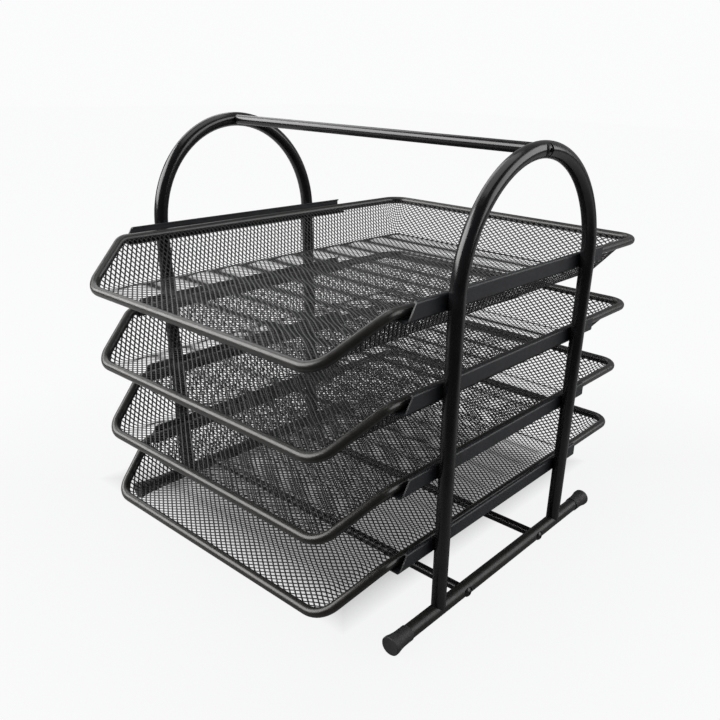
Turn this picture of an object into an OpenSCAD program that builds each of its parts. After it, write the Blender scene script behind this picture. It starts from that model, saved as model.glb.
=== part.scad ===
// Four sliding mesh letter trays in a tubular steel stand with a carrying bar.
// Millimetres. +X is right, +Y is back, +Z is up. The origin is on the floor,
// under the middle of the trays. The stand sits a little forward of the trays.

/* [Side frames] */
// Distance between the middle planes of the two side frames
frame_span = 288; // [284:1:300]
// How far the stand's middle plane lies in front of the trays' middle
frame_forward = 15; // [10:1:20]
// Outer diameter of the arched tube
arch_d = 10.3; // [10:0.1:11]
// Distance between the centre lines of an arch's two legs
leg_span = 154; // [150:1:158]
// Height of the arch's centre line at its top
arch_top = 300.3; // [296:0.1:306]
// Wall of the arched tube and of the foot tube
tube_wall = 1; // [0.8:0.1:1.2]

/* [Feet] */
// Outer diameter of the foot tube
foot_d = 10.4; // [10:0.1:11]
// Height of the foot tube's centre line
foot_axis_z = 6.7; // [6.6:0.1:6.8]
// Length of a foot from cap to cap
foot_length = 255; // [250:1:260]
// Largest diameter of a foot cap
cap_d = 13.8; // [13.6:0.1:14]
// Outer diameter of a foot cap's sleeve
cap_sleeve_d = 11.5; // [11.4:0.1:12]
// Length of a foot cap
cap_length = 18; // [16:1:20]

/* [Cross bars] */
// Outer diameter of the handle bar and of the two floor bars
bar_d = 7; // [6.8:0.1:7.2]
// Wall of these bars
bar_wall = 0.9; // [0.8:0.1:1]
// Distance between the two floor bars
floor_bar_span = 97; // [90:1:100]
// Length of the threaded plug in each bar end
plug_length = 14; // [12:1:16]

/* [Screws] */
// Diameter of the screw shank
screw_d = 3.5; // [3.4:0.1:3.6]
// Diameter of the domed screw head
head_d = 7; // [6.6:0.1:7.2]
// Height of the domed screw head
head_h = 2.6; // [2.4:0.1:2.8]
// Depth of the hexagon socket in the head
socket_depth = 1.4; // [1.2:0.1:1.5]
// Width across the socket's corners
socket_d = 3; // [2.6:0.1:3.2]
// How deep the arch is pressed flat under a screw head
arch_dent = 1.8; // [1.6:0.1:2]
// How deep the foot tube is pressed flat under a screw head
foot_dent = 1; // [0.8:0.1:1.2]
// How deep a tube is pressed flat where a cross bar's end seats
seat_dent = 0.6; // [0.5:0.1:0.7]
// Diameter of the flat pressed under a screw head
dent_d = 8.6; // [8.4:0.1:9]

/* [Rails] */
// Height from one tray to the next
tray_pitch = 54.7; // [52:0.1:55]
// Thickness of the rail's sheet
rail_sheet = 1; // [0.9:0.1:1.1]
// Width of the ledge that the tray runs on
rail_ledge = 10; // [9:0.1:10.5]
// Width of the folded lip on top
rail_lip = 2.3; // [2:0.1:2.6]
// Height of the rail's web
rail_height = 10.95; // [10.5:0.05:11.5]
// Outer bend radius of the rail's folds
rail_bend = 1.5; // [1.4:0.1:1.8]
// From the stand's middle plane to the ledge's front end
rail_front = 114.5; // [112:0.5:116]
// From the stand's middle plane to the web's front end, at its foot
rail_web_front = 112.5; // [110:0.5:114]
// How far the web's front end slopes back towards its top
rail_slope = 6.5; // [5:0.5:8]
// From the stand's middle plane to the rail's rear end
rail_back = 111; // [108:0.5:114]

/* [Trays] */
// Outer diameter of the tray's rim tube
rim_d = 6.6; // [6.4:0.1:6.8]
// Wall of the rim tube
rim_wall = 0.8; // [0.7:0.1:1]
// Distance between the centre lines of the rim's two sides
rim_width = 262; // [258:1:264]
// Distance between the centre lines of the front and back rims
rim_length = 347; // [340:1:352]
// Distance between the sides where they reach the low front rim
front_width = 225; // [220:1:230]
// How far the rim drops from its sides to its front
front_drop = 26; // [24:0.5:28]
// Length along the tray over which the rim drops
front_run = 38.5; // [36:0.5:42]
// Height of the top tray's rim
top_rim_z = 221.4; // [218:0.1:224]
// Bend radius of the rim's back corners
back_bend = 15; // [14:1:18]
// Bend radius where the sides begin to drop
drop_bend = 12; // [10:1:14]
// Bend radius of the rim's front corners
front_bend = 18; // [16:1:19]
// How much the back wall leans inward from rim to floor
back_lean = 24; // [22:1:26]
// How far the floor lies below the front rim's centre line
floor_below = 1; // [0.5:0.1:1.5]
// Thickness of the sheet that stands for the expanded mesh
mesh_sheet = 0.5; // [0.4:0.1:0.8]
// Gap between the rim and the ledge it runs on
slide_gap = 0.25; // [0.2:0.05:0.4]
// Number of ribs pressed into the tray's floor
rib_count = 10; // [6:1:11]
// Distance from one rib to the next
rib_step = 28.3; // [26:0.1:30]
// Height of a rib above the floor
rib_height = 2.2; // [1.5:0.1:3]
// Openings across the floor and the back wall, for the mesh
hole_columns = 12; // [8:1:12]

/* [Hidden] */
$fn = 48;
frame_x = frame_span / 2;
frame_y = -frame_forward;
leg_y = leg_span / 2;
arc_z = arch_top - leg_y;
bar_seat_x = frame_x - arch_d / 2 + seat_dent;
floor_bar_seat_x = frame_x - foot_d / 2 + seat_dent;
floor_bar_y = floor_bar_span / 2;
plug_d = bar_d - 2 * bar_wall;
screw_reach = 10;
head_edge = 0.6;
socket_sides = 6;
dome_steps = 6;
cap_end = 2.5;
cap_straight = 6;
cap_steps = 8;
cap_chamfer = 0.5;
rail_x = frame_x - arch_d / 2;
rail_ledge_z = top_rim_z - rim_d / 2 - slide_gap;
rail_foot_z = rail_ledge_z - rail_sheet;
rim_x = rim_width / 2;
front_x = front_width / 2;
rim_y = rim_length / 2;
front_z = top_rim_z - front_drop;
floor_z = front_z - floor_below;
// The mesh is welded into the rim tube's wall, this far from the tube's axis
mesh_inset = (rim_d - rim_wall) / 2;
wall_slope = (rim_x - front_x) / front_drop;
back_slope = back_lean / front_drop;
vent_d = 1.6;
knuckle_gap = 0.1;
knuckle_rise = 0.02;
floor_corner = 8;
corner_slope = (back_bend - mesh_inset - floor_corner) / (top_rim_z - floor_z);
// The floor lies lower than the front rim, so it runs on this much to reach it
floor_reach = 1.6;
floor_half = rim_x - mesh_inset - (top_rim_z - floor_z) * wall_slope;
rib_front = -142.5;
rib_rise = 17;
rib_taper = 14;
rib_side = 2;
hole_step = 2 * (floor_half - 6) / hole_columns;
hole_width = hole_step - 5;
hole_length = 22;
front_hole = 16;
wall_hole_bottom = 5;
wall_hole_height = 16;
wall_hole_step = 23;
wall_hole_width = 17;
drop_angle = atan2(front_drop, front_run);
trim_reach = 420;

// Corners of one tray's rim, anticlockwise from above, and the bend at each
rim_corners = [
    [rim_x, rim_y, top_rim_z],
    [-rim_x, rim_y, top_rim_z],
    [-rim_x, -rim_y + front_run, top_rim_z],
    [-front_x, -rim_y, front_z],
    [front_x, -rim_y, front_z],
    [rim_x, -rim_y + front_run, top_rim_z]
];
rim_bends = [back_bend, back_bend, drop_bend, front_bend, front_bend, drop_bend];

function unit(v) = v / norm(v);
function corner(points, i) = points[(i + len(points)) % len(points)];
function towards(points, i, j) = unit(corner(points, j) - corner(points, i));
function corner_angle(points, i) =
    acos(towards(points, i, i - 1) * towards(points, i, i + 1));
// Where the bend at corner i meets the leg that leads to corner j
function bend_end(points, bends, i, j) =
    corner(points, i)
        + towards(points, i, j) * corner(bends, i) / tan(corner_angle(points, i) / 2);

// A round bar between two points. It stops a hair short of each, and a faint
// knuckle round each point joins it to the bend that follows.
module rod(from, to, r) {
    run = to - from;
    translate(from)
        rotate([0, acos(run[2] / norm(run)), atan2(run[1], run[0])]) {
            translate([0, 0, knuckle_gap])
                cylinder(h = norm(run) - 2 * knuckle_gap, r = r);
            for (z = [0, norm(run)])
                translate([0, 0, z])
                    sphere(r = r + knuckle_rise);
        }
}

// The bend of a round bar at one corner of a closed path
module bend(points, bends, i, r) {
    angle = corner_angle(points, i);
    inward = unit(towards(points, i, i - 1) + towards(points, i, i + 1));
    centre = points[i] + inward * bends[i] / sin(angle / 2);
    u = unit(bend_end(points, bends, i, i - 1) - centre);
    w = unit(cross(towards(points, i, i + 1), towards(points, i, i - 1)));
    v = cross(w, u);
    multmatrix([
        [u[0], v[0], w[0], centre[0]],
        [u[1], v[1], w[1], centre[1]],
        [u[2], v[2], w[2], centre[2]],
        [0, 0, 0, 1]
    ])
        rotate_extrude(angle = 180 - angle)
            translate([bends[i], 0])
                circle(r = r);
}

// A round bar bent round a closed path
module bent_loop(points, bends, r) {
    for (i = [0 : len(points) - 1]) {
        bend(points, bends, i, r);
        rod(bend_end(points, bends, i, i + 1), bend_end(points, bends, i + 1, i), r);
    }
}

// A cylinder along X, from x = from to x = to
module across(from, to, r) {
    translate([from, 0, 0])
        rotate([0, 90, 0])
            cylinder(h = to - from, r = r);
}

// Mirrors a right-hand piece to the left when side is -1
module on_side(side) {
    if (side < 0)
        mirror([1, 0, 0])
            children();
    else
        children();
}

// Metal that a pressed flat leaves inside the tube: it fills the bore behind
// the screw's flat and behind the bar's seat, and the screw's hole is open
module dent_backing(tube_r, outer_dent) {
    across(tube_r - outer_dent - tube_wall, tube_r, dent_d / 2 + tube_wall);
    across(-tube_r, seat_dent + tube_wall - tube_r, bar_d / 2 + tube_wall);
}

module dent_cut(tube_r, outer_dent) {
    across(tube_r - outer_dent, 2 * tube_r, dent_d / 2);
    across(-2 * tube_r, seat_dent - tube_r, bar_d / 2);
    across(-2 * tube_r, 2 * tube_r, screw_d / 2);
}

// The arch as a solid bar of radius r, in its own plane
module arch_solid(r) {
    for (y = [-leg_y, leg_y])
        translate([0, y, foot_axis_z])
            cylinder(h = arc_z - foot_axis_z, r = r);
    translate([0, 0, arc_z])
        rotate([90, 0, 90])
            rotate_extrude(angle = 180)
                translate([leg_y, 0])
                    circle(r = r);
}

module arch_tube(side) {
    color("#1b1b1d")
        on_side(side)
            translate([frame_x, frame_y, 0])
                difference() {
                    arch_solid(arch_d / 2);
                    difference() {
                        arch_solid(arch_d / 2 - tube_wall);
                        translate([0, 0, arch_top])
                            dent_backing(arch_d / 2, arch_dent);
                    }
                    translate([0, 0, arch_top])
                        dent_cut(arch_d / 2, arch_dent);
                    translate([0, 0, foot_axis_z])
                        rotate([90, 0, 0])
                            cylinder(h = foot_length, r = foot_d / 2, center = true);
                }
}

module foot_tube(side) {
    length = foot_length - 2 * cap_end;
    color("#1b1b1d")
        on_side(side)
            translate([frame_x, frame_y, foot_axis_z])
                difference() {
                    rotate([90, 0, 0])
                        cylinder(h = length, r = foot_d / 2, center = true);
                    difference() {
                        rotate([90, 0, 0])
                            cylinder(h = length + 2, r = foot_d / 2 - tube_wall, center = true);
                        for (y = [-floor_bar_y, floor_bar_y])
                            translate([0, y, 0])
                                dent_backing(foot_d / 2, foot_dent);
                    }
                    for (y = [-floor_bar_y, floor_bar_y])
                        translate([0, y, 0])
                            dent_cut(foot_d / 2, foot_dent);
                }
}

// The cap's outline from its mouth to its end: a sleeve that flares like a
// trumpet into the end disc
function cap_flare() = [
    for (i = [0 : cap_steps])
        let (t = i / cap_steps)
        [
            cap_sleeve_d / 2 + (cap_d - cap_sleeve_d) / 2 * t * t,
            cap_straight + (cap_length - cap_straight - cap_end) * t
        ]
];

module foot_cap(side, end) {
    outline = concat(
        [[foot_d / 2, 0], [cap_sleeve_d / 2 - cap_chamfer / 2, 0]],
        [[cap_sleeve_d / 2, cap_chamfer]],
        cap_flare(),
        [[cap_d / 2, cap_length - cap_chamfer]],
        [[cap_d / 2 - cap_chamfer, cap_length], [0, cap_length]],
        [[0, cap_length - cap_end], [foot_d / 2, cap_length - cap_end]]
    );
    color("#232325")
        on_side(side)
            difference() {
                translate([frame_x, frame_y + end * (foot_length / 2 - cap_length), foot_axis_z])
                    rotate([-end * 90, 0, 0])
                        rotate_extrude()
                            polygon(outline);
                // A narrow flat under the disc, on which the stand rests
                translate([frame_x - cap_d, frame_y - foot_length, -cap_d])
                    cube([2 * cap_d, 2 * foot_length, cap_d]);
            }
}

// A rectangle whose two left-hand corners are round
module left_round(width, height, r) {
    translate([r, 0])
        square([width - r, height]);
    translate([0, r])
        square([r, height - 2 * r]);
    for (z = [r, height - r])
        translate([r, z])
            circle(r = r);
}

// The rail's folded section: ledge below, web upright, lip on top
module rail_section() {
    difference() {
        left_round(rail_ledge, rail_height, rail_bend);
        translate([rail_sheet, rail_sheet])
            left_round(rail_ledge, rail_height - 2 * rail_sheet, rail_bend - rail_sheet);
        translate([rail_lip, rail_sheet])
            square([rail_ledge, rail_height]);
    }
}

// The rail seen from its side: the web's front end slopes, the ledge runs on
module rail_side_view() {
    polygon([
        [-rail_front, 0],
        [rail_back, 0],
        [rail_back, rail_height],
        [rail_slope - rail_web_front, rail_height],
        [-rail_web_front, rail_sheet],
        [-rail_front, rail_sheet]
    ]);
}

module rail(side, level) {
    color("#2c2f33")
        on_side(side)
            translate([rail_x, frame_y, rail_foot_z - (level - 1) * tray_pitch])
                intersection() {
                    translate([0, rail_back, 0])
                        rotate([90, 0, 0])
                            linear_extrude(height = rail_back + rail_front)
                                mirror([1, 0])
                                    rail_section();
                    translate([-rail_ledge, 0, 0])
                        rotate([90, 0, 90])
                            linear_extrude(height = rail_ledge)
                                rail_side_view();
                }
}

module cross_bar(y, z, half) {
    color("#1b1b1d")
        translate([0, y, z])
            difference() {
                across(-half, half, bar_d / 2);
                across(-half - 1, half + 1, bar_d / 2 - bar_wall);
            }
}

// One threaded plug in the right-hand end of a bar
module plug(y, z, half) {
    color("silver")
        translate([0, y, z])
            difference() {
                across(half - plug_length, half, plug_d / 2);
                across(half - plug_length - 1, half + 1, screw_d / 2);
            }
}

// Half outline of a screw turned about its axis: shank, then domed head. The
// shank's tip is at 0 and the head's seat is at length.
function screw_outline(length) =
    let (
        dome_h = head_h - head_edge,
        dome_r = (pow(head_d / 2, 2) + pow(dome_h, 2)) / (2 * dome_h),
        half_angle = asin(head_d / 2 / dome_r)
    )
    concat(
        [[0, 0], [screw_d / 2, 0], [screw_d / 2, length], [head_d / 2, length]],
        [
            for (i = [0 : dome_steps - 1])
                let (a = half_angle * (1 - i / dome_steps))
                [dome_r * sin(a), length + head_h - dome_r * (1 - cos(a))]
        ],
        [[0, length + head_h]]
    );

// One domed screw through the right-hand tube into a bar's plug
module screw(y, z, tube_r, outer_dent, half) {
    tip = half - screw_reach;
    length = frame_x + tube_r - outer_dent - tip;
    color("#161616")
        translate([tip, y, z])
            rotate([0, 90, 0])
                difference() {
                    rotate_extrude()
                        polygon(screw_outline(length));
                    translate([0, 0, length + head_h - socket_depth])
                        cylinder(h = head_h, d = socket_d, $fn = socket_sides);
                }
}

module handle_bar() {
    cross_bar(frame_y, arch_top, bar_seat_x);
}

module handle_plugs() {
    for (side = [-1, 1])
        on_side(side)
            plug(frame_y, arch_top, bar_seat_x);
}

module handle_screws() {
    for (side = [-1, 1])
        on_side(side)
            screw(frame_y, arch_top, arch_d / 2, arch_dent, bar_seat_x);
}

module floor_bar(end) {
    cross_bar(frame_y + end * floor_bar_y, foot_axis_z, floor_bar_seat_x);
}

module floor_bar_plugs() {
    for (side = [-1, 1], end = [-1, 1])
        on_side(side)
            plug(frame_y + end * floor_bar_y, foot_axis_z, floor_bar_seat_x);
}

module floor_bar_screws() {
    for (side = [-1, 1], end = [-1, 1])
        on_side(side)
            screw(frame_y + end * floor_bar_y, foot_axis_z, foot_d / 2, foot_dent, floor_bar_seat_x);
}

// The rim is one tube bent round and welded shut, with a small vent hole
// under its back side
module tray_rim(level) {
    color("#1d1d1f")
        translate([0, 0, (1 - level) * tray_pitch])
            difference() {
                bent_loop(rim_corners, rim_bends, rim_d / 2);
                bent_loop(rim_corners, rim_bends, rim_d / 2 - rim_wall);
                translate([0, rim_y, top_rim_z - rim_d])
                    cylinder(h = rim_d, r = vent_d / 2);
            }
}

// A thin level slice of the tray's body at height z, moved out by grow. It
// runs on past the front, where the slanted trim cuts it off.
module body_slice(z, grow) {
    rise = z - top_rim_z;
    half = rim_x - mesh_inset + rise * wall_slope + grow;
    back = rim_y - mesh_inset + rise * back_slope + grow;
    r = floor_corner + (z - floor_z) * corner_slope + grow;
    translate([0, 0, z])
        linear_extrude(height = 0.01)
            hull() {
                for (side = [-1, 1])
                    translate([side * (half - r), back - r])
                        circle(r = r, $fn = 32);
                translate([-half, -rim_y - front_run])
                    square([2 * half, 1]);
            }
}

// Everything behind the slanted plane of the front rim, with the rim's own
// rounded front corners
module front_trim() {
    flare = (rim_x - front_x) / norm([front_run, front_drop]);
    inset = mesh_inset;
    translate([0, -rim_y, front_z])
        rotate([drop_angle, 0, 0])
            translate([0, 0, -trim_reach / 2])
                linear_extrude(height = trim_reach)
                    offset(r = front_bend - inset, $fn = 64)
                        offset(delta = -front_bend)
                            polygon([
                                [-front_x, -floor_reach],
                                [front_x, -floor_reach],
                                [front_x + flare * trim_reach, trim_reach],
                                [-front_x - flare * trim_reach, trim_reach]
                            ]);
}

// The sloping floor and walls of the tray, a plain sheet
module tray_shell() {
    skin = mesh_sheet / 2;
    difference() {
        hull() {
            body_slice(floor_z - skin, skin);
            body_slice(top_rim_z, skin);
        }
        hull() {
            body_slice(floor_z + skin, -skin);
            body_slice(top_rim_z + front_drop, -skin);
        }
    }
}

// The ribs as low roofs whose feet lie at height z. A rib rises gently from
// its front, falls faster behind, and slopes down at both ends.
module rib_roofs(z) {
    foot = floor_half - rib_side;
    crest = foot - rib_taper;
    top = z + rib_height + mesh_sheet / 2;
    for (i = [0 : rib_count - 1])
        translate([0, rib_front + i * rib_step, 0])
            polyhedron(
                points = [
                    [-foot, 0, z],
                    [foot, 0, z],
                    [foot, rib_step, z],
                    [-foot, rib_step, z],
                    [-crest, rib_rise, top],
                    [crest, rib_rise, top]
                ],
                faces = [[0, 1, 2, 3], [0, 4, 5, 1], [1, 5, 2], [2, 5, 4, 3], [3, 4, 0]]
            );
}

// A plain grid of openings that stands for the diamonds of the mesh
module mesh_openings() {
    wall_z = floor_z + wall_hole_bottom + wall_hole_height / 2;
    front_y = (rib_front - rim_y) / 2;
    for (i = [0 : hole_columns - 1])
        translate([(i - (hole_columns - 1) / 2) * hole_step, 0, 0]) {
            translate([0, front_y, floor_z])
                cube([hole_width, front_hole, front_drop], center = true);
            for (j = [0 : rib_count - 1])
                translate([0, rib_front + (j + 0.5) * rib_step, floor_z])
                    cube([hole_width, hole_length, front_drop / 2], center = true);
            translate([0, rim_y, wall_z])
                cube([hole_width, 4 * back_lean, wall_hole_height], center = true);
        }
    for (j = [0 : hole_columns - 1])
        translate([0, rim_y - 2 * back_lean - j * wall_hole_step, wall_z])
            cube([4 * rim_x, wall_hole_width, wall_hole_height], center = true);
}

module tray_basket(level) {
    color("#3a3a3c")
        translate([0, 0, (1 - level) * tray_pitch])
            difference() {
                intersection() {
                    union() {
                        tray_shell();
                        rib_roofs(floor_z);
                    }
                    front_trim();
                }
                rib_roofs(floor_z - mesh_sheet);
                mesh_openings();
            }
}

arch_tube(-1);  // left_arch_tube
arch_tube(1);  // right_arch_tube
foot_tube(-1);  // left_foot_tube
foot_tube(1);  // right_foot_tube
foot_cap(-1, -1);  // left_front_cap
foot_cap(-1, 1);  // left_rear_cap
foot_cap(1, -1);  // right_front_cap
foot_cap(1, 1);  // right_rear_cap
rail(-1, 1);  // left_rail_1
rail(-1, 2);  // left_rail_2
rail(-1, 3);  // left_rail_3
rail(-1, 4);  // left_rail_4
rail(1, 1);  // right_rail_1
rail(1, 2);  // right_rail_2
rail(1, 3);  // right_rail_3
rail(1, 4);  // right_rail_4
handle_bar();
handle_plugs();
handle_screws();
floor_bar(-1);  // front_floor_bar
floor_bar(1);  // rear_floor_bar
floor_bar_plugs();
floor_bar_screws();
tray_rim(1);  // tray_1_rim
tray_rim(2);  // tray_2_rim
tray_rim(3);  // tray_3_rim
tray_rim(4);  // tray_4_rim
tray_basket(1);  // tray_1_basket
tray_basket(2);  // tray_2_basket
tray_basket(3);  // tray_3_basket
tray_basket(4);  // tray_4_basket
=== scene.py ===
# %% [markdown]
# A stack of four letter trays. Each tray is a mesh basket hung in a bent tube
# rim, and slides forward on folded rails inside a stand of steel tube. The CAD
# model gives every size and place. Its solids could be painted and rendered as
# they are, and most of them are. Only the rims and the baskets are made again
# here, because bent tube and open mesh are what the eye sees first, and solids
# made for collision leave them plain.

import math

import bmesh
import bpy
import numpy as np
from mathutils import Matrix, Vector


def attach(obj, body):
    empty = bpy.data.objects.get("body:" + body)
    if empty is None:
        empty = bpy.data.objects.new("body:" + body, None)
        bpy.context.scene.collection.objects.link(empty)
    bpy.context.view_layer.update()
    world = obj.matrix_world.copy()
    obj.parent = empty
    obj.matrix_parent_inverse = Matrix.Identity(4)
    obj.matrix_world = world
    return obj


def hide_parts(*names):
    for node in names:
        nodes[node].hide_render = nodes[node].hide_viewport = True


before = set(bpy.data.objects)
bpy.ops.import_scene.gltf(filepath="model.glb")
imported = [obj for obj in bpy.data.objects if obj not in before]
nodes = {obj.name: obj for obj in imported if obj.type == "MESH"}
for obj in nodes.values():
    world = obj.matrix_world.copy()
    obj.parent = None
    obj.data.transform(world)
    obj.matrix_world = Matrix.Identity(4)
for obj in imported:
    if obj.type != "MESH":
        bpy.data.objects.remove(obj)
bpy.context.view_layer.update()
MM = 0.001


# %% [markdown]
# The camera stands to the right of the stack's front and looks a little down
# on it. A view could be framed by eye. This one was worked out from the edges
# of the tubes and rims, so that the render and the photograph can be laid over
# each other. The lens shift puts the stack where the photograph has it.

# %% Camera
LENS = 37.22
SENSOR = 36
LENS_SHIFT = (-0.0664, 0.0934)
NEAREST_SEEN = 10 * MM
CAMERA_PLACE = (0.38248, -0.42507, 0.33851)
CAMERA_TURNS = (64.540, -1.850, 40.020)


def add_camera():
    view = bpy.data.cameras.new("camera")
    view.sensor_width = SENSOR
    view.lens = LENS
    view.shift_x, view.shift_y = LENS_SHIFT
    view.clip_start = NEAREST_SEEN
    camera = bpy.data.objects.new("camera", view)
    camera.location = CAMERA_PLACE
    camera.rotation_euler = [math.radians(turn) for turn in CAMERA_TURNS]
    bpy.context.collection.objects.link(camera)
    bpy.context.scene.camera = camera
    return camera


camera = add_camera()
print("camera at", tuple(camera.location))


# %% [markdown]
# A round tube shows its light as one long stripe, as wide as the lamp is. One
# small hard lamp would give a thin, glaring line. So a large soft lamp stands
# at the front left, and weaker ones stand at the left, at the right and
# overhead. Each row gives a lamp's name, its place, the point it is aimed at,
# its width and height, its watts and its tint.

# %% Lamps
STACK_MIDDLE = (0, 0, 0.15)
STACK_FOOT = (0, 0, 0.1)
PLAIN = (1, 1, 1)
WARM = (1, 0.99, 0.98)
LAMPS = [
    ("key_lamp", (-0.9, -1.05, 0.95), STACK_MIDDLE, (1.7, 1.05), 42, WARM),
    ("left_lamp", (-1.3, 0.35, 1.2), STACK_MIDDLE, (1.2, 1), 7, PLAIN),
    ("right_lamp", (1.15, 0.85, 0.8), STACK_MIDDLE, (1.5, 1), 14, PLAIN),
    ("top_lamp", (0, 0.1, 1.8), STACK_FOOT, (1.4, 1.4), 8, PLAIN),
]


def add_lamp(name, place, aim, size, power, tint):
    light = bpy.data.lights.new(name, "AREA")
    light.shape = "RECTANGLE"
    light.size, light.size_y = size
    light.energy = power
    light.color = tint
    holder = bpy.data.objects.new(name, light)
    holder.location = place
    direction = Vector(aim) - Vector(place)
    holder.rotation_euler = direction.to_track_quat("-Z", "Y").to_euler()
    bpy.context.collection.objects.link(holder)


for row in LAMPS:
    add_lamp(*row)
    print(row[0], "gives", row[4], "watts")


# %% [markdown]
# Materials and the world are built from linked nodes. Three helpers keep that
# readable. The first joins two values by arithmetic. The second turns one range
# of values into another and holds the result at both ends. The third splits a
# point's place into its X, Y and Z.

# %% Helpers for nodes
def join_math(tree, operation, first, second=0):
    made = tree.nodes.new("ShaderNodeMath")
    made.operation = operation
    for socket, source in zip(made.inputs, (first, second)):
        if isinstance(source, (int, float)):
            socket.default_value = source
        else:
            tree.links.new(source, socket)
    return made.outputs[0]


def turn_range(tree, source, old, new):
    made = tree.nodes.new("ShaderNodeMapRange")
    made.inputs["From Min"].default_value = old[0]
    made.inputs["From Max"].default_value = old[1]
    made.inputs["To Min"].default_value = new[0]
    made.inputs["To Max"].default_value = new[1]
    tree.links.new(source, made.inputs["Value"])
    return made.outputs["Result"]


def split_place(tree, kind):
    place = tree.nodes.new("ShaderNodeTexCoord")
    split = tree.nodes.new("ShaderNodeSeparateXYZ")
    tree.links.new(place.outputs[kind], split.inputs[0])
    return split.outputs


helpers = (join_math, turn_range, split_place)
print("helpers:", [helper.__name__ for helper in helpers])


# %% [markdown]
# The room is one even white to the camera. A black coat shows whatever it
# mirrors, and in an all-white room it would turn grey. A studio puts black
# cards before such an object. Here gloss sees the room dark at the front and
# brighter behind the stack, which leaves the tubes near black.

# %% The white room
WHITE = (0.965, 0.968, 0.97, 1)
ROOM_LIGHT = 0.36
MIRRORED_Y = (0.1, 0.8)
MIRRORED_LIGHT = (0.04, 0.3)


def set_up_world():
    world = bpy.data.worlds.new("white_room")
    bpy.context.scene.world = world
    world.use_nodes = True
    tree = world.node_tree
    room = tree.nodes["Background"]
    room.inputs["Color"].default_value = WHITE
    path = tree.nodes.new("ShaderNodeLightPath").outputs
    change = [light - ROOM_LIGHT for light in MIRRORED_LIGHT]
    mirrored = turn_range(tree, split_place(tree, "Generated")["Y"], MIRRORED_Y, change)
    mirrored = join_math(tree, "MULTIPLY", path["Is Glossy Ray"], mirrored)
    strength = join_math(tree, "ADD", mirrored, ROOM_LIGHT)
    strength = join_math(tree, "MAXIMUM", strength, path["Is Camera Ray"])
    strength = join_math(tree, "MAXIMUM", strength, path["Is Transmission Ray"])
    tree.links.new(strength, room.inputs["Strength"])
    return world


world = set_up_world()
bpy.context.scene.view_settings.view_transform = "Standard"
print("world:", world.name)


# %% [markdown]
# The stack stands on a floor that the camera sees as plain white. A floor that is only
# painted white shows a grey horizon, so most of what the camera sees of it is the room's
# even white, mixed in. The floor's own paint is dark grey. Under the trays little white
# is mixed in, and more and more round them, so the floor shows painted shade there,
# darkest under the trays, as well as the real shadow seen through the mesh. Gloss sees
# it dark towards the front right, like the room. Places and lengths on the floor are in
# metres.

# %% Paint of the floor
# The floor's own paint is dark grey. Where it shows, under and round the trays, it is
# painted shade.
FLOOR_SHADE = (0.3, 0.3, 0.3, 1)
FLOOR_ROUGHNESS = 0.9
FLOOR_SHINE = 0.1
PAINTED_SHADE_MIDDLE = (-0.045, 0.02)
PAINTED_SHADE_HALF = (0.115, 0.13)
NEAR_FADE = (0, 0.04)
NEAR_WHITE = (0.25, 0.92)
FAR_FADE = (0.04, 0.3)
FAR_WHITE = (0, 0.07)
FRONT_RIGHT = (0.67, -0.74)
DARK_FADE = (0.1, 0.4)
DARK_PART = (0, 0.9)


def past_painted_shade(tree, split):
    """How far a point of the floor lies past the edge of the painted shade under the
    trays.
    """
    past = []
    for axis, middle, half in zip("XY", PAINTED_SHADE_MIDDLE, PAINTED_SHADE_HALF):
        from_middle = join_math(tree, "SUBTRACT", split[axis], middle)
        from_middle = join_math(tree, "ABSOLUTE", from_middle)
        past.append(join_math(tree, "SUBTRACT", from_middle, half))
    return join_math(tree, "MAXIMUM", *past)


# The white share is low over the patch under the trays and grows outwards, which paints
# shade under and round the stack.
def white_part(tree, split):
    past = past_painted_shade(tree, split)
    near = turn_range(tree, past, NEAR_FADE, NEAR_WHITE)
    far = turn_range(tree, past, FAR_FADE, FAR_WHITE)
    return join_math(tree, "ADD", near, far)


def dark_part(tree, split):
    across = join_math(tree, "MULTIPLY", split["X"], FRONT_RIGHT[0])
    along = join_math(tree, "MULTIPLY", split["Y"], FRONT_RIGHT[1])
    ahead = join_math(tree, "ADD", across, along)
    return turn_range(tree, ahead, DARK_FADE, DARK_PART)


def mix_shaders(tree, share, first, second):
    mixed = tree.nodes.new("ShaderNodeMixShader")
    for socket, source in zip(mixed.inputs, (share, first, second)):
        tree.links.new(source, socket)
    return mixed.outputs[0]


def floor_paint():
    paint = bpy.data.materials.new("white_floor")
    paint.use_nodes = True
    tree = paint.node_tree
    shader = tree.nodes["Principled BSDF"]
    shader.inputs["Base Color"].default_value = FLOOR_SHADE
    shader.inputs["Roughness"].default_value = FLOOR_ROUGHNESS
    shader.inputs["Specular IOR Level"].default_value = FLOOR_SHINE
    even = tree.nodes.new("ShaderNodeEmission")
    even.inputs["Color"].default_value = WHITE
    dark = tree.nodes.new("ShaderNodeEmission")
    dark.inputs["Strength"].default_value = 0
    path = tree.nodes.new("ShaderNodeLightPath").outputs
    split = split_place(tree, "Object")
    # Where little white is mixed in, the floor's grey paint shows as painted shade under
    # the trays.
    seen = join_math(tree, "MULTIPLY", path["Is Camera Ray"], white_part(tree, split))
    mirrored = join_math(tree, "MULTIPLY", path["Is Glossy Ray"], dark_part(tree, split))
    shade = mix_shaders(tree, seen, shader.outputs[0], even.outputs[0])
    shade = mix_shaders(tree, mirrored, shade, dark.outputs[0])
    tree.links.new(shade, tree.nodes["Material Output"].inputs["Surface"])
    return paint


print("shaded part of the floor:", [2 * half for half in PAINTED_SHADE_HALF], "m")


# %% The floor
FLOOR_SIZE = 12


def deselect_all():
    if bpy.context.object and bpy.context.object.mode == "EDIT":
        bpy.ops.object.mode_set(mode="OBJECT")
    bpy.ops.object.select_all(action="DESELECT")


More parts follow.
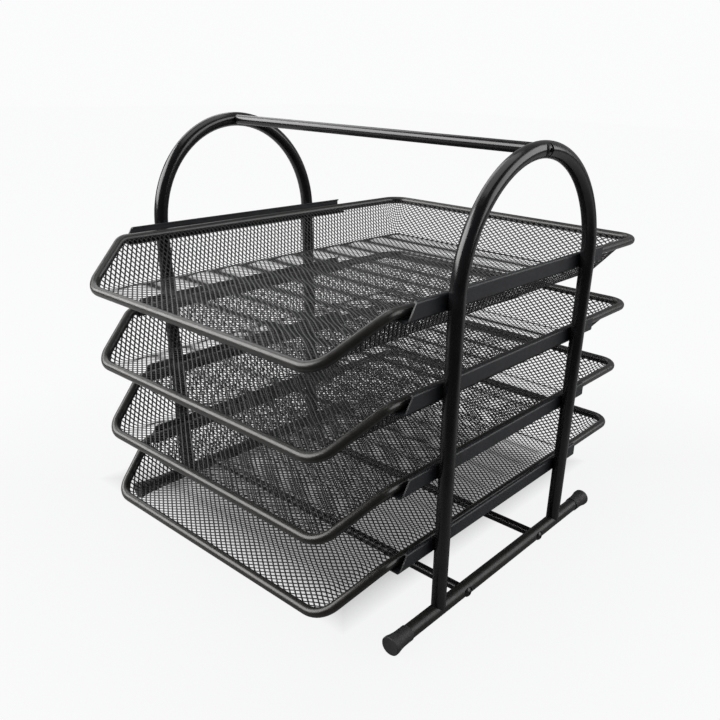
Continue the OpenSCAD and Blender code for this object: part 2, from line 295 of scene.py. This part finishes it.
def add_floor():
    deselect_all()
    bpy.ops.mesh.primitive_plane_add(size=FLOOR_SIZE)
    floor = bpy.context.object
    floor.name = "floor"
    floor.data.materials.append(floor_paint())
    return floor


floor = add_floor()
print("floor size", tuple(floor.dimensions))


# %% [markdown]
# All the steel is powder coated. The powder melts into a skin with a very
# fine, uneven ripple. A picture of such a skin could be laid on, but noise on
# Object coordinates, in metres, has no seams and the right size everywhere. It
# drives the ripple, a slow change of gloss, and a faint change of tone.

# %% Coated metal
TONE_NOISE = (90, 4)
GLOSS_NOISE = (260, 3)
RIPPLE_DETAIL = 2
NOISE_RANGE = (0.3, 0.7)
WEAR = 0.25
RIPPLE_DEPTH = 0.05 * MM
# The Mix node has sockets for each kind of value. These are the colour ones.
MIX_FIRST = 6
MIX_SECOND = 7
MIX_RESULT = 2


def add_noise(tree, place, scale, detail):
    made = tree.nodes.new("ShaderNodeTexNoise")
    made.inputs["Scale"].default_value = scale
    made.inputs["Detail"].default_value = detail
    tree.links.new(place, made.inputs["Vector"])
    return made.outputs["Fac"]


def add_tone(tree, place, colour):
    tone = tree.nodes.new("ShaderNodeMix")
    tone.data_type = "RGBA"
    for socket, change in ((MIX_FIRST, 1 - WEAR), (MIX_SECOND, 1 + WEAR)):
        shade = [part * change for part in colour]
        tone.inputs[socket].default_value = (*shade, 1)
    noise = add_noise(tree, place, *TONE_NOISE)
    tree.links.new(turn_range(tree, noise, NOISE_RANGE, (0, 1)), tone.inputs[0])
    return tone.outputs[MIX_RESULT]


def add_ripple(tree, place, strength, size):
    bump = tree.nodes.new("ShaderNodeBump")
    bump.inputs["Strength"].default_value = strength
    bump.inputs["Distance"].default_value = RIPPLE_DEPTH
    noise = add_noise(tree, place, 1 / size, RIPPLE_DETAIL)
    tree.links.new(noise, bump.inputs["Height"])
    return bump.outputs["Normal"]


def coat(name, colour, roughness, ripple, ripple_size, shine=0.5, metal=0):
    paint = bpy.data.materials.new(name)
    paint.use_nodes = True
    tree = paint.node_tree
    shader = tree.nodes["Principled BSDF"]
    shader.inputs["Specular IOR Level"].default_value = shine
    shader.inputs["Metallic"].default_value = metal
    place = tree.nodes.new("ShaderNodeTexCoord").outputs["Object"]
    noise = add_noise(tree, place, *GLOSS_NOISE)
    gloss = turn_range(tree, noise, NOISE_RANGE, roughness)
    normal = add_ripple(tree, place, ripple, ripple_size)
    tree.links.new(add_tone(tree, place, colour), shader.inputs["Base Color"])
    tree.links.new(gloss, shader.inputs["Roughness"])
    tree.links.new(normal, shader.inputs["Normal"])
    return paint


print("ripple depth", RIPPLE_DEPTH / MM, "mm")


# %% [markdown]
# The finishes differ a little. The arches and bars are the glossiest. The rims
# are a little brown, and the rails and feet are duller. The caps are moulded
# plastic with a fine grain. The plugs in the bars' ends are bare steel, and are
# hidden. A finish is found by a word in the node's name, so that all pieces of
# one kind get the same one. The first word that fits counts.

# %% Finishes
tube_paint = coat("tube_paint", (0.006, 0.006, 0.007), (0.16, 0.24), 0.12, 1.5 * MM)
foot_paint = coat("foot_paint", (0.013, 0.0135, 0.012), (0.3, 0.42), 0.2, 1 * MM, 0.33)
rail_paint = coat("rail_paint", (0.012, 0.013, 0.016), (0.4, 0.5), 0.25, 1 * MM, 0.4)
rim_paint = coat("rim_paint", (0.012, 0.0115, 0.0105), (0.27, 0.36), 0.12, 1.5 * MM)
mesh_paint = coat("mesh_paint", (0.01, 0.01, 0.011), (0.3, 0.42), 0.4, 0.4 * MM)
cap_plastic = coat("cap_plastic", (0.022, 0.022, 0.023), (0.5, 0.65), 1, 0.25 * MM, 0.4)
screw_black = coat("screw_black", (0.012, 0.012, 0.013), (0.2, 0.3), 0.3, 0.4 * MM)
plain_steel = coat("plain_steel", (0.5, 0.5, 0.5), (0.3, 0.4), 0.3, 0.4 * MM, metal=1)

FINISHES = {
    "cap": cap_plastic,
    "plugs": plain_steel,
    "screws": screw_black,
    "foot": foot_paint,
    "rail": rail_paint,
    "rim": rim_paint,
    "tube": tube_paint,
    "bar": tube_paint,
    "basket": mesh_paint,
}


def finish_node(name):
    for word, paint in FINISHES.items():
        if word in name:
            nodes[name].data.materials.clear()
            nodes[name].data.materials.append(paint)
            return paint.name
    raise ValueError("no finish for " + name)


for name in sorted(nodes):
    print(name, "gets", finish_node(name))


# %% [markdown]
# The rim of a tray is one steel tube. It runs level along the back and the two
# sides, drops to the front, and is welded shut behind. Its centre line is given
# by its corners, each with the radius that it is bent to. DROP_Y is where the
# sides begin to drop.

# %% Sizes of the rim
RIM_R = 3.3 * MM
RIM_X = 131 * MM
RIM_Y = 173.5 * MM
TOP_Z = 221.4 * MM
FRONT_X = 112.5 * MM
FRONT_Z = 195.4 * MM
DROP_Y = -135 * MM
BACK_BEND = 15 * MM
DROP_BEND = 12 * MM
FRONT_BEND = 18 * MM
RIM_CORNERS = [
    ((RIM_X, RIM_Y, TOP_Z), BACK_BEND),
    ((RIM_X, DROP_Y, TOP_Z), DROP_BEND),
    ((FRONT_X, -RIM_Y, FRONT_Z), FRONT_BEND),
    ((-FRONT_X, -RIM_Y, FRONT_Z), FRONT_BEND),
    ((-RIM_X, DROP_Y, TOP_Z), DROP_BEND),
    ((-RIM_X, RIM_Y, TOP_Z), BACK_BEND),
]
print("rim corners:", len(RIM_CORNERS))


# %% [markdown]
# A curve with a round bevel would give the tube quickly, but its bends would be
# only near to round. A pipe bender leaves true straights and round bends, so
# the tube is made in the same way: a ring of points is pushed along each
# straight and spun round each bend, until it meets its own start.

# %% Bend a tube round its corners
RING_SIDES = 24
BEND_STEPS = 10
MERGE_GAP = 0.05 * MM


def ring_centre(thing):
    shape = bmesh.from_edit_mesh(thing.data)
    chosen = [vertex.co for vertex in shape.verts if vertex.select]
    return sum(chosen, Vector()) / len(chosen)


def push_ring_to(thing, target):
    step = target - ring_centre(thing)
    bpy.ops.mesh.extrude_region_move(TRANSFORM_OT_translate={"value": step})


def start_ring(seam):
    deselect_all()
    quarter = math.radians(90)
    bpy.ops.mesh.primitive_circle_add(
        vertices=RING_SIDES, radius=RIM_R, location=seam, rotation=(0, quarter, 0)
    )
    bpy.ops.object.transform_apply(location=True, rotation=True, scale=True)
    bpy.ops.object.mode_set(mode="EDIT")
    bpy.ops.mesh.select_mode(type="EDGE")
    bpy.ops.mesh.select_all(action="SELECT")
    return bpy.context.object


def bend_at(thing, before, corner, after, radius):
    back = (before - corner).normalized()
    ahead = (after - corner).normalized()
    half = back.angle(ahead) / 2
    push_ring_to(thing, corner + back * radius / math.tan(half))
    bpy.ops.mesh.spin(
        steps=BEND_STEPS,
        angle=math.pi - 2 * half,
        center=corner + (back + ahead).normalized() * radius / math.sin(half),
        axis=back.cross(ahead).normalized(),
    )


def bend_rim():
    seam = Vector((0, RIM_Y, TOP_Z))
    rim = start_ring(seam)
    bends = [bend for corner, bend in RIM_CORNERS]
    stops = [seam, *[Vector(corner) for corner, bend in RIM_CORNERS], seam]
    for before, corner, after, bend in zip(stops, stops[1:], stops[2:], bends):
        bend_at(rim, before, corner, after, bend)
    push_ring_to(rim, seam)
    bpy.ops.mesh.select_all(action="SELECT")
    bpy.ops.mesh.remove_doubles(threshold=MERGE_GAP)
    bpy.ops.mesh.normals_make_consistent(inside=False)
    bpy.ops.object.mode_set(mode="OBJECT")
    bpy.ops.object.shade_smooth()
    return rim


rim = bend_rim()
print("rim faces:", len(rim.data.polygons), "size", tuple(rim.dimensions))


# %% [markdown]
# The basket is expanded metal: a sheet slit in rows and pulled until the slits
# open into diamonds. The whole tray is one piece of it, pressed to shape, so
# the diamonds run on from the floor up the walls. A picture of mesh with clear
# holes would be lighter, but it has no thickness when seen from close by. So the
# net is made flat first, as in the factory, and pressed afterwards.
#
# LONG_WAY and SHORT_WAY are the two ways across a diamond. The mesh ends at
# WELD_INSET inside the rim's centre line. The press folds it up over about FOLD
# of height and stretches the side walls by a tenth.

# %% Sizes of the basket
LONG_WAY = 5.93 * MM
SHORT_WAY = 3.80 * MM
STRAND = 1.1 * MM
SHEET = 0.6 * MM
BELOW_FRONT = 1 * MM
BACK_LEAN = 24 * MM
DROP = TOP_Z - FRONT_Z
FLOOR_Z = FRONT_Z - BELOW_FRONT
DEPTH = TOP_Z - FLOOR_Z
WALL_SLOPE = (RIM_X - FRONT_X) / DROP
BACK_SLOPE = BACK_LEAN / DROP
WELD_INSET = 2.9 * MM
FLOOR_HALF = RIM_X - WELD_INSET - DEPTH * WALL_SLOPE
FLOOR_BACK = RIM_Y - WELD_INSET - DEPTH * BACK_SLOPE
FLOOR_CORNER = 8 * MM
CORNER_SLOPE = (BACK_BEND - WELD_INSET - FLOOR_CORNER) / DEPTH
FOLD = 4 * MM
WALL_STRETCH = 1.1
print("floor", 2 * FLOOR_HALF / MM, "mm wide, back edge at", FLOOR_BACK / MM)


# %% The tray's form
LOWEST_RISE = -10 * MM
HIGHEST_RISE = 60 * MM
RISE_HALVINGS = 26


def wall_rise(x, y):
    """Height above the floor of the walls over a point, below zero inside."""
    low = np.full(x.shape, LOWEST_RISE)
    high = np.full(x.shape, HIGHEST_RISE)
    for halving in range(RISE_HALVINGS):
        middle = (low + high) / 2
        corner = FLOOR_CORNER + middle * CORNER_SLOPE
        side = np.abs(x) - FLOOR_HALF - middle * WALL_SLOPE + corner
        rear = y - FLOOR_BACK - middle * BACK_SLOPE + corner
        round_part = np.hypot(np.maximum(side, 0), np.maximum(rear, 0))
        gap = round_part + np.minimum(np.maximum(side, rear), 0) - corner
        low = np.where(gap > 0, middle, low)
        high = np.where(gap > 0, high, middle)
    return low


rise_at_rim = wall_rise(np.array([RIM_X - WELD_INSET]), np.array([0.0]))
print("walls rise", rise_at_rim / MM, "mm to the rim")


# %% [markdown]
# Low ribs run across the floor and stiffen it. They lie on a field that stands
# a little above the floor's edge, and fade out at its sides and ends. Where the
# eye looks along a floor, their far sides show as dark bands. Bent strips could
# be laid in, but on the real tray the ribs are pressed into the mesh itself, so
# here they are part of the form.

# %% Ribs of the floor
RIB_FIRST = -161.8 * MM
RIB_STEP = 28.4 * MM
RIB_RISE = 15 * MM
RIB_BASE = 0.8 * MM
RIB_HEIGHT = 2 * MM
RIB_END = 94 * MM
RIB_BACK = 134 * MM
RIB_FRONT = -158 * MM
EDGE_FALL = 10 * MM


def ribs(x, y):
    """Height of the ribs, and of the field that carries them, over a point."""
    along = np.mod(y - RIB_FIRST, RIB_STEP)
    part = np.interp(along, [0, RIB_RISE, RIB_STEP], [0, 1, 0])
    height = RIB_BASE + RIB_HEIGHT * (0.5 - 0.5 * np.cos(np.pi * part))
    for past in (np.abs(x) - RIB_END, y - RIB_BACK, RIB_FRONT - y):
        height = height * (0.5 + 0.5 * np.cos(np.pi * np.clip(past / EDGE_FALL, 0, 1)))
    return height


ribs_of_floor = int((RIB_BACK - RIB_FIRST) / RIB_STEP)
print("ribs:", ribs_of_floor, "each", RIB_HEIGHT / MM, "mm high")


# %% Where the press leaves each point
def press(u, v):
    """Place in the tray of the point (u, v) of the flat sheet."""
    up_side = WALL_SLOPE / math.hypot(1, WALL_SLOPE) * WALL_STRETCH
    up_back = BACK_SLOPE / math.hypot(1, BACK_SLOPE)
    past_side = np.maximum(np.abs(u) - FLOOR_HALF, 0)
    past_back = np.maximum(v - FLOOR_BACK, 0)
    x = np.sign(u) * (np.abs(u) - past_side * (1 - up_side))
    y = v - past_back * (1 - up_back)
    rise = wall_rise(x, y)
    bent = (rise + FOLD) ** 2 / (4 * FOLD)
    lift = np.where(np.abs(rise) < FOLD, bent, np.maximum(rise, 0))
    return np.stack([x, y, FLOOR_Z + lift + ribs(x, y)], axis=-1)


corner_test = press(np.array([0.0, FLOOR_HALF]), np.array([0.0, 0.0]))
print("pressed points", corner_test / MM)


# %% How far a point of the sheet lies past the rim
RUN = DROP_Y + RIM_Y
SLANT = math.hypot(RUN, DROP)
FLARE = math.atan2(RIM_X - FRONT_X, SLANT)
BEND_HUB_X = FRONT_X - FRONT_BEND / math.tan((math.pi / 2 + FLARE) / 2)
INSIDE_BEND = 0.6 * MM
INSIDE_FRONT = 1 * MM


def overhang(u, v):
    """How far the pressed point lies past the rim, below zero inside it."""
    place = press(u, v)
    x, y, z = np.abs(place[..., 0]), place[..., 1], place[..., 2]
    over_slant = ((z - FRONT_Z) * RUN - (y + RIM_Y) * DROP) / SLANT
    along_slant = ((y + RIM_Y) * RUN + (z - FRONT_Z) * DROP) / SLANT
    beside = x - BEND_HUB_X
    before = FRONT_BEND - along_slant
    in_bend = (beside > 0) & (before > beside * math.tan(FLARE))
    from_hub = np.hypot(beside, before)
    past_bend = np.where(in_bend, from_hub - FRONT_BEND + INSIDE_BEND, -1)
    past_front = -RIM_Y + INSIDE_FRONT - y
    return np.max([z - TOP_Z, over_slant, past_front, past_bend], axis=0)


print("floor's middle past the rim:", overhang(np.zeros(1), np.zeros(1)) / MM, "mm")


# %% [markdown]
# A square grid turned by 45 degrees and stretched gives the diamonds. It is
# made larger than the tray and then trimmed. Every cell that crosses the rim is
# shortened to end in it, because on the real tray the cut ends of the strands
# are welded into the tube.

# %% The flat net of diamonds
NET_CELLS = 144
NET_MIDDLE = (0, 4.5 * MM, 0)


def flat_net():
    deselect_all()
    bpy.ops.mesh.primitive_grid_add(
        x_subdivisions=NET_CELLS,
        y_subdivisions=NET_CELLS,
        size=NET_CELLS * SHORT_WAY / math.sqrt(2),
        location=NET_MIDDLE,
    )
    net = bpy.context.object
    bpy.ops.object.transform_apply(location=True, rotation=True, scale=True)
    bpy.ops.object.mode_set(mode="EDIT")
    bpy.ops.mesh.select_all(action="SELECT")
    bpy.ops.transform.rotate(
        value=math.radians(45), orient_axis="Z", center_override=NET_MIDDLE
    )
    stretch = (LONG_WAY / SHORT_WAY, 1, 1)
    bpy.ops.transform.resize(value=stretch, center_override=NET_MIDDLE)
    bpy.ops.object.mode_set(mode="OBJECT")
    return net


def sheet_points(net):
    flat = np.empty(len(net.data.vertices) * 3)
    net.data.vertices.foreach_get("co", flat)
    return flat.reshape(-1, 3)


net = flat_net()
print("cells before trimming:", len(net.data.polygons))


# %% Trim the net to the rim
EDGE_HALVINGS = 16


def reach_rim(inner, outer):
    """The point where each line from inner to outer meets the rim."""
    near = np.zeros(len(inner))
    far = np.ones(len(inner))
    for halving in range(EDGE_HALVINGS):
        middle = (near + far) / 2
        at = inner + (outer - inner) * middle[:, None]
        past = overhang(at[:, 0], at[:, 1]) > 0
        far = np.where(past, middle, far)
        near = np.where(past, near, middle)
    return inner + (outer - inner) * near[:, None]


def delete_points(net, unwanted):
    deselect_all()
    net.select_set(True)
    bpy.context.view_layer.objects.active = net
    bpy.ops.object.mode_set(mode="EDIT")
    bpy.ops.mesh.select_mode(type="VERT")
    bpy.ops.mesh.select_all(action="DESELECT")
    bpy.ops.object.mode_set(mode="OBJECT")
    net.data.vertices.foreach_set("select", unwanted)
    bpy.ops.object.mode_set(mode="EDIT")
    bpy.ops.mesh.delete(type="VERT")
    bpy.ops.object.mode_set(mode="OBJECT")


def trim_to_rim(net):
    points = sheet_points(net)
    kept = overhang(points[:, 0], points[:, 1]) <= 0
    ends = np.array([edge.vertices[:] for edge in net.data.edges])
    crossing = kept[ends[:, 0]] != kept[ends[:, 1]]
    inner = np.where(kept[ends[:, 0]], ends[:, 0], ends[:, 1])[crossing]
    outer = np.where(kept[ends[:, 0]], ends[:, 1], ends[:, 0])[crossing]
    pulled = np.zeros_like(points)
    meetings = np.zeros(len(points))
    np.add.at(pulled, outer, reach_rim(points[inner], points[outer]))
    np.add.at(meetings, outer, 1)
    edge_points = meetings > 0
    points[edge_points] = pulled[edge_points] / meetings[edge_points][:, None]
    net.data.vertices.foreach_set("co", points.ravel())
    delete_points(net, ~(kept | edge_points))


trim_to_rim(net)
print("cells after trimming:", len(net.data.polygons))


# %% [markdown]
# The Wireframe modifier thins the cells to strands while the net is still flat,
# where all strands come out alike. Pressing then moves every point to its
# place in the tray, and half the sheet's thickness to either side of it. Smooth
# shading gives each strand the rounded edges that the melted powder leaves.

# %% Thin the cells to strands and press the tray
SLOPE_STEP = 0.05 * MM


def cut_strands(net):
    wire = net.modifiers.new("strands", "WIREFRAME")
    wire.thickness = STRAND
    wire.use_even_offset = True
    wire.use_boundary = True
    wire.use_replace = True
    bpy.ops.object.modifier_apply(modifier=wire.name)


def press_basket(net):
    points = sheet_points(net)
    u, v = points[:, 0], points[:, 1]
    out = points[:, 2] * SHEET / STRAND
    place = press(u, v)
    along = press(u + SLOPE_STEP, v) - press(u - SLOPE_STEP, v)
    across = press(u, v + SLOPE_STEP) - press(u, v - SLOPE_STEP)
    normal = np.cross(along, across)
    normal /= np.linalg.norm(normal, axis=1)[:, None]
    place += normal * out[:, None]
    net.data.vertices.foreach_set("co", place.ravel())
    net.data.update()
    bpy.ops.object.shade_smooth()


cut_strands(net)
press_basket(net)
triangles = sum(len(face.vertices) - 2 for face in net.data.polygons)
print("basket triangles:", triangles, "size", tuple(net.dimensions))


# %% [markdown]
# The four trays are alike and sit one pitch apart, so one rim and one basket
# are made and copied. Each tray gets its own copy of both, which rides on that
# tray's sliding body and stands for its CAD solids.

# %% Four trays
TRAYS = 4
PITCH = 54.7 * MM
TRAY_PIECES = (
    (rim, "rim", rim_paint, "rim_paint"),
    (net, "basket", mesh_paint, "mesh_paint"),
)


def copy_down(model, name, level):
    deselect_all()
    model.select_set(True)
    bpy.context.view_layer.objects.active = model
    bpy.ops.object.duplicate(linked=False)
    made = bpy.context.object
    made.name = name
    bpy.ops.transform.translate(value=(0, 0, (1 - level) * PITCH))
    bpy.ops.object.transform_apply(location=True, rotation=True, scale=True)
    return made


for level in range(1, TRAYS + 1):
    for model, part, paint, slot in TRAY_PIECES:
        piece = copy_down(model, "tray_%d_%s_piece" % (level, part), level)
        piece.data.materials.append(paint)
        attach(piece, "tray_%d" % level)
        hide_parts("tray_%d_%s" % (level, part))
        print(piece.name, len(piece.data.polygons), "faces")


# %% [markdown]
# The two models that the copies were made from are removed.

# %% Remove the models
for model in (rim, net):
    bpy.data.objects.remove(model)
